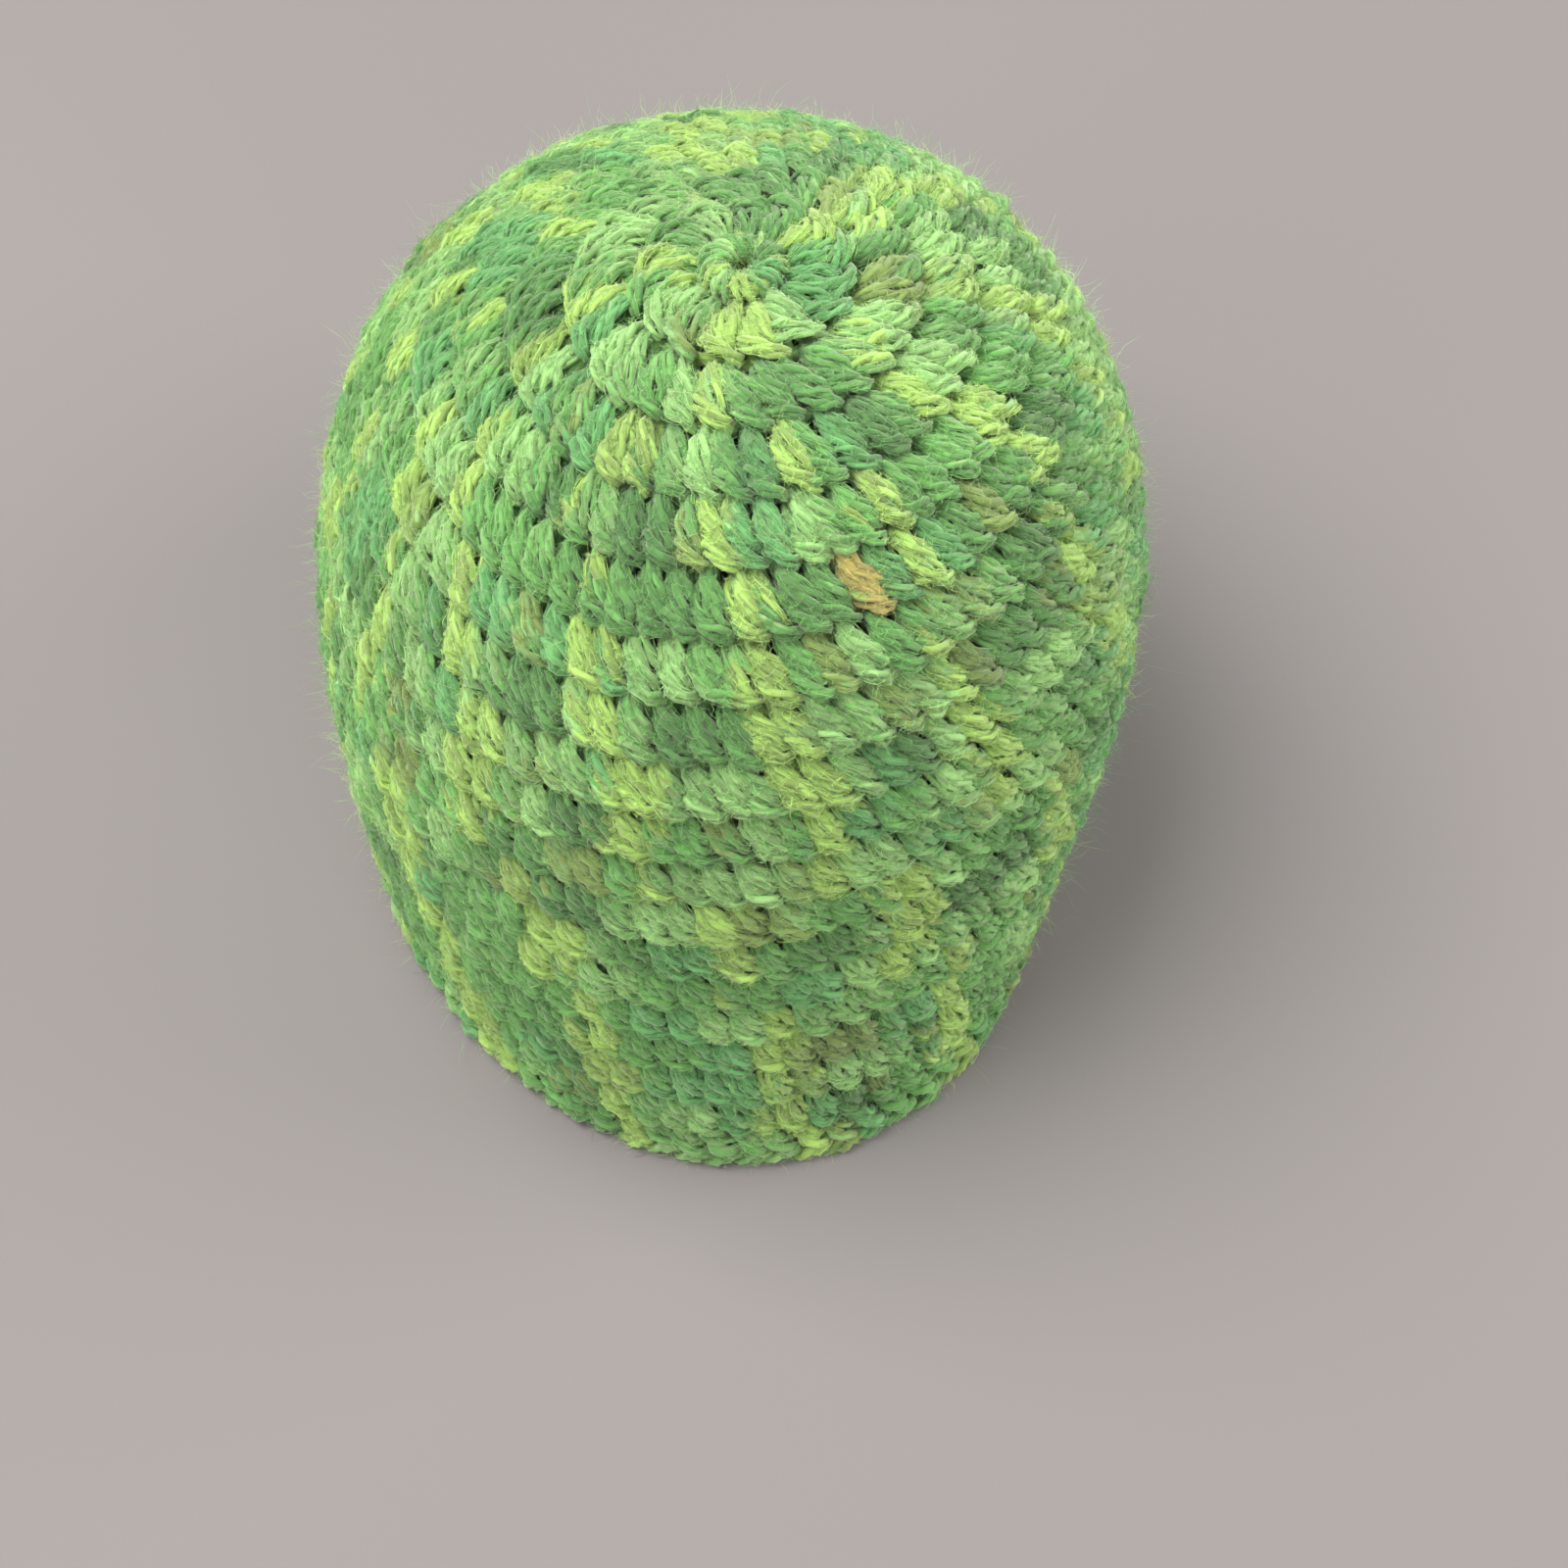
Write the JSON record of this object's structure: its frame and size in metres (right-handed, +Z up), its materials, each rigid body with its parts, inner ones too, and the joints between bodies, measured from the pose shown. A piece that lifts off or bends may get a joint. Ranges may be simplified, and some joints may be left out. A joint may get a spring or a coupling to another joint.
{
  "type": "crocheted beanie",
  "caption": "Close-fitting adult beanie crocheted in the round from the crown down in fuzzy green and lime wool, with a slip-stitched brim edge.",
  "frame": {"origin": "middle of the hat's box, on the plane of the brim", "axes": "+Z up through the crown, +Y towards the back of the wearer's head, +X towards the wearer's left"},
  "size_m": [0.1726, 0.206, 0.1753],
  "materials": {
    "wool_yarn": "fuzzy space-dyed wool, matt"
  },
  "bodies": {
    "root": {"centre_ring": "wool_yarn", "round_01": "wool_yarn", "round_02": "wool_yarn", "round_03": "wool_yarn", "round_04": "wool_yarn", "round_05": "wool_yarn", "round_06": "wool_yarn", "round_07": "wool_yarn", "round_08": "wool_yarn", "round_09": "wool_yarn", "round_10": "wool_yarn", "round_11": "wool_yarn", "round_12": "wool_yarn", "round_13": "wool_yarn", "round_14": "wool_yarn", "round_15": "wool_yarn", "round_16": "wool_yarn", "round_17": "wool_yarn", "edging": "wool_yarn", "start_tail": "wool_yarn", "finish_tail": "wool_yarn"}
  },
  "joints": []
}
